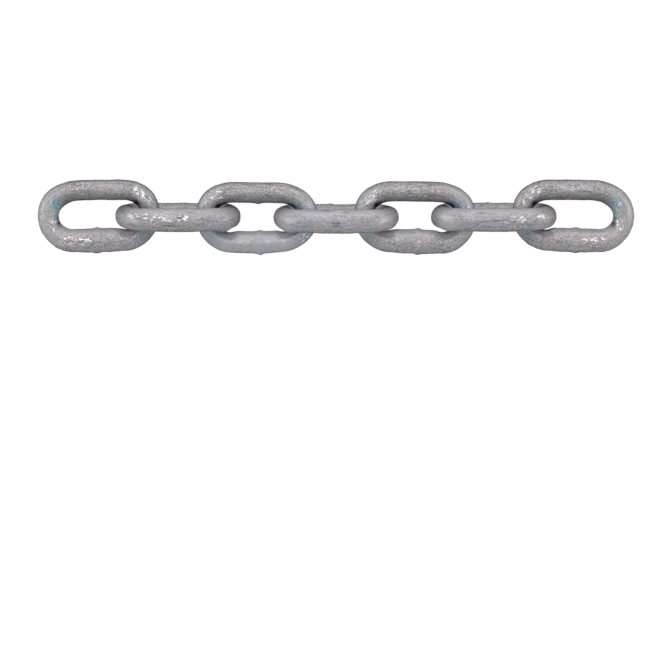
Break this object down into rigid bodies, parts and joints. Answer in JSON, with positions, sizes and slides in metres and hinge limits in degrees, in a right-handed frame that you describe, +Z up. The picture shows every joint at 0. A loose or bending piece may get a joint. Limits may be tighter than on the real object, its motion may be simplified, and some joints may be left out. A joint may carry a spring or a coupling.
{
  "type": "length of anchor chain",
  "caption": "Straight length of galvanised anchor chain: oval butt-welded links threaded through one another, each free to swing on the next.",
  "frame": {"origin": "middle of the chain's length and width, on the floor that it lies on", "axes": "+X along the chain, +Y from the welded legs of the face-on links to their plain legs, +Z up"},
  "size_m": [0.2386, 0.0228, 0.0228],
  "materials": {
    "galvanised_steel": "dull hot-dip zinc, slightly grainy, with a faint violet and pink mottle"
  },
  "bodies": {
    "link_1": {"link_1": "galvanised_steel"},
    "link_2": {"link_2": "galvanised_steel"},
    "link_3": {"link_3": "galvanised_steel"},
    "link_4": {"link_4": "galvanised_steel"},
    "link_5": {"link_5": "galvanised_steel"},
    "link_6": {"link_6": "galvanised_steel"},
    "link_7": {"link_7": "galvanised_steel"}
  },
  "joints": [
    {"name": "swing_1_2", "type": "hinge", "parent": "link_1", "child": "link_2", "pos_m": [-0.07465, 0.00038, 0.01179], "axis": [0, 0.7071, 0.7071], "range_deg": [-120, 120]},
    {"name": "swing_2_3", "type": "hinge", "parent": "link_2", "child": "link_3", "pos_m": [-0.043, 0.00038, 0.01102], "axis": [0, -0.7071, 0.7071], "range_deg": [-120, 120]},
    {"name": "swing_3_4", "type": "hinge", "parent": "link_3", "child": "link_4", "pos_m": [-0.01135, 0.00038, 0.01179], "axis": [0, -0.7071, -0.7071], "range_deg": [-120, 120]},
    {"name": "swing_4_5", "type": "hinge", "parent": "link_4", "child": "link_5", "pos_m": [0.0203, 0.00038, 0.01102], "axis": [0, 0.7071, -0.7071], "range_deg": [-120, 120]},
    {"name": "swing_5_6", "type": "hinge", "parent": "link_5", "child": "link_6", "pos_m": [0.05195, 0.00038, 0.01179], "axis": [0, 0.7071, 0.7071], "range_deg": [-120, 120]},
    {"name": "swing_6_7", "type": "hinge", "parent": "link_6", "child": "link_7", "pos_m": [0.0836, 0.00038, 0.01102], "axis": [0, -0.7071, 0.7071], "range_deg": [-120, 120]}
  ]
}
